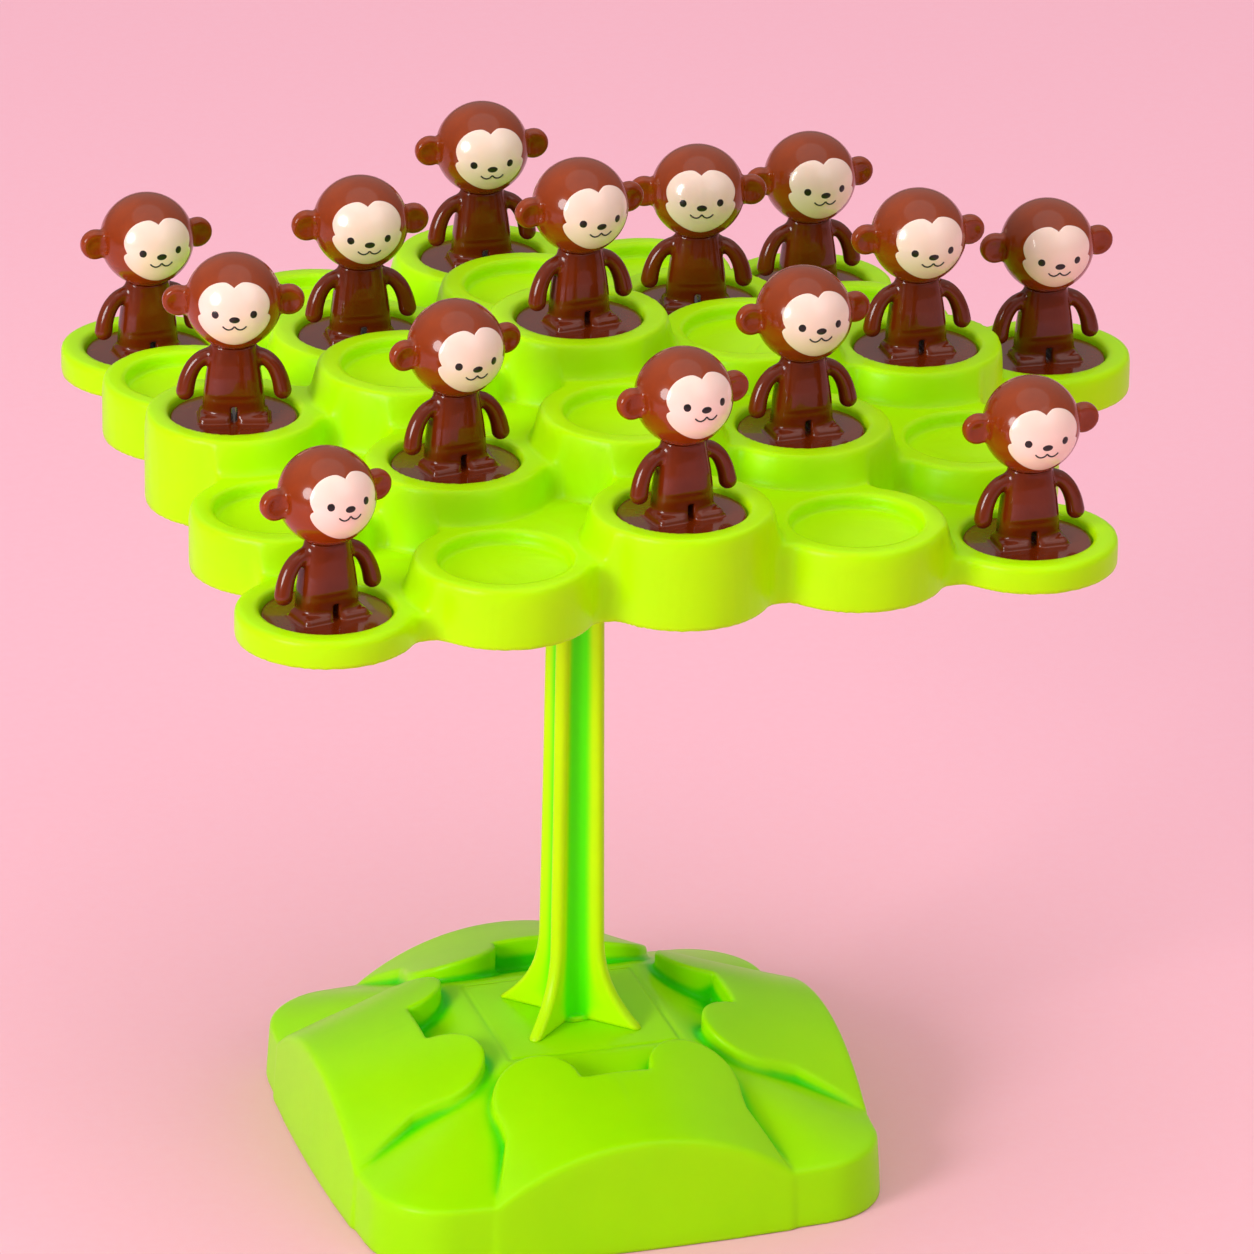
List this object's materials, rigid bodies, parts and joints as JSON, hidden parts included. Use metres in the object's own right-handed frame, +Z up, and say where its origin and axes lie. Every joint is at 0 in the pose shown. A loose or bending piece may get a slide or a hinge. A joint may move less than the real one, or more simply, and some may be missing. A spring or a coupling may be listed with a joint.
{
  "type": "balance game",
  "caption": "Balance game: a stepped tray of round cups rocks on a tree trunk over a hilly square base, with small toy monkeys standing in the cups.",
  "frame": {"origin": "centre of the base's footprint, on the surface it stands on", "axes": "+X along the tray's columns to the player's right, +Y away from the player, +Z up along the trunk"},
  "size_m": [0.2075, 0.175, 0.2113],
  "materials": {
    "stand_green": "satin gloss translucent moulded plastic",
    "tray_green": "satin gloss translucent moulded plastic",
    "pivot_white": "smooth low-friction plastic",
    "brown": "high gloss",
    "cream": "high gloss"
  },
  "bodies": {
    "stand": {"base": "stand_green", "trunk": "stand_green"},
    "pivot_cap": {"pivot_cap": "pivot_white"},
    "tray": {"tray": "tray_green"},
    "monkey_01": {"monkey_01_body": "brown", "monkey_01_head": "brown", "monkey_01_face": "cream"},
    "monkey_02": {"monkey_02_body": "brown", "monkey_02_head": "brown", "monkey_02_face": "cream"},
    "monkey_03": {"monkey_03_body": "brown", "monkey_03_head": "brown", "monkey_03_face": "cream"},
    "monkey_04": {"monkey_04_body": "brown", "monkey_04_head": "brown", "monkey_04_face": "cream"},
    "monkey_05": {"monkey_05_body": "brown", "monkey_05_head": "brown", "monkey_05_face": "cream"},
    "monkey_06": {"monkey_06_body": "brown", "monkey_06_head": "brown", "monkey_06_face": "cream"},
    "monkey_07": {"monkey_07_body": "brown", "monkey_07_head": "brown", "monkey_07_face": "cream"},
    "monkey_08": {"monkey_08_body": "brown", "monkey_08_head": "brown", "monkey_08_face": "cream"},
    "monkey_09": {"monkey_09_body": "brown", "monkey_09_head": "brown", "monkey_09_face": "cream"},
    "monkey_10": {"monkey_10_body": "brown", "monkey_10_head": "brown", "monkey_10_face": "cream"},
    "monkey_11": {"monkey_11_body": "brown", "monkey_11_head": "brown", "monkey_11_face": "cream"},
    "monkey_12": {"monkey_12_body": "brown", "monkey_12_head": "brown", "monkey_12_face": "cream"},
    "monkey_13": {"monkey_13_body": "brown", "monkey_13_head": "brown", "monkey_13_face": "cream"},
    "monkey_14": {"monkey_14_body": "brown", "monkey_14_head": "brown", "monkey_14_face": "cream"}
  },
  "joints": [
    {"name": "tray_rock_x", "type": "hinge", "parent": "stand", "child": "pivot_cap", "pos_m": [0, 0, 0.1685], "axis": [1, 0, 0], "range_deg": [-12, 12]},
    {"name": "tray_rock_y", "type": "hinge", "parent": "pivot_cap", "child": "tray", "pos_m": [0, 0, 0.1685], "axis": [0, 1, 0], "range_deg": [-12, 12]},
    {"name": "monkey_01_lift", "type": "slide", "parent": "tray", "child": "monkey_01", "axis": [0, 0, 1], "range_m": [0, 0.03]},
    {"name": "monkey_02_lift", "type": "slide", "parent": "tray", "child": "monkey_02", "axis": [0, 0, 1], "range_m": [0, 0.03]},
    {"name": "monkey_03_lift", "type": "slide", "parent": "tray", "child": "monkey_03", "axis": [0, 0, 1], "range_m": [0, 0.03]},
    {"name": "monkey_04_lift", "type": "slide", "parent": "tray", "child": "monkey_04", "axis": [0, 0, 1], "range_m": [0, 0.03]},
    {"name": "monkey_05_lift", "type": "slide", "parent": "tray", "child": "monkey_05", "axis": [0, 0, 1], "range_m": [0, 0.03]},
    {"name": "monkey_06_lift", "type": "slide", "parent": "tray", "child": "monkey_06", "axis": [0, 0, 1], "range_m": [0, 0.03]},
    {"name": "monkey_07_lift", "type": "slide", "parent": "tray", "child": "monkey_07", "axis": [0, 0, 1], "range_m": [0, 0.03]},
    {"name": "monkey_08_lift", "type": "slide", "parent": "tray", "child": "monkey_08", "axis": [0, 0, 1], "range_m": [0, 0.03]},
    {"name": "monkey_09_lift", "type": "slide", "parent": "tray", "child": "monkey_09", "axis": [0, 0, 1], "range_m": [0, 0.03]},
    {"name": "monkey_10_lift", "type": "slide", "parent": "tray", "child": "monkey_10", "axis": [0, 0, 1], "range_m": [0, 0.03]},
    {"name": "monkey_11_lift", "type": "slide", "parent": "tray", "child": "monkey_11", "axis": [0, 0, 1], "range_m": [0, 0.03]},
    {"name": "monkey_12_lift", "type": "slide", "parent": "tray", "child": "monkey_12", "axis": [0, 0, 1], "range_m": [0, 0.03]},
    {"name": "monkey_13_lift", "type": "slide", "parent": "tray", "child": "monkey_13", "axis": [0, 0, 1], "range_m": [0, 0.03]},
    {"name": "monkey_14_lift", "type": "slide", "parent": "tray", "child": "monkey_14", "axis": [0, 0, 1], "range_m": [0, 0.03]}
  ]
}
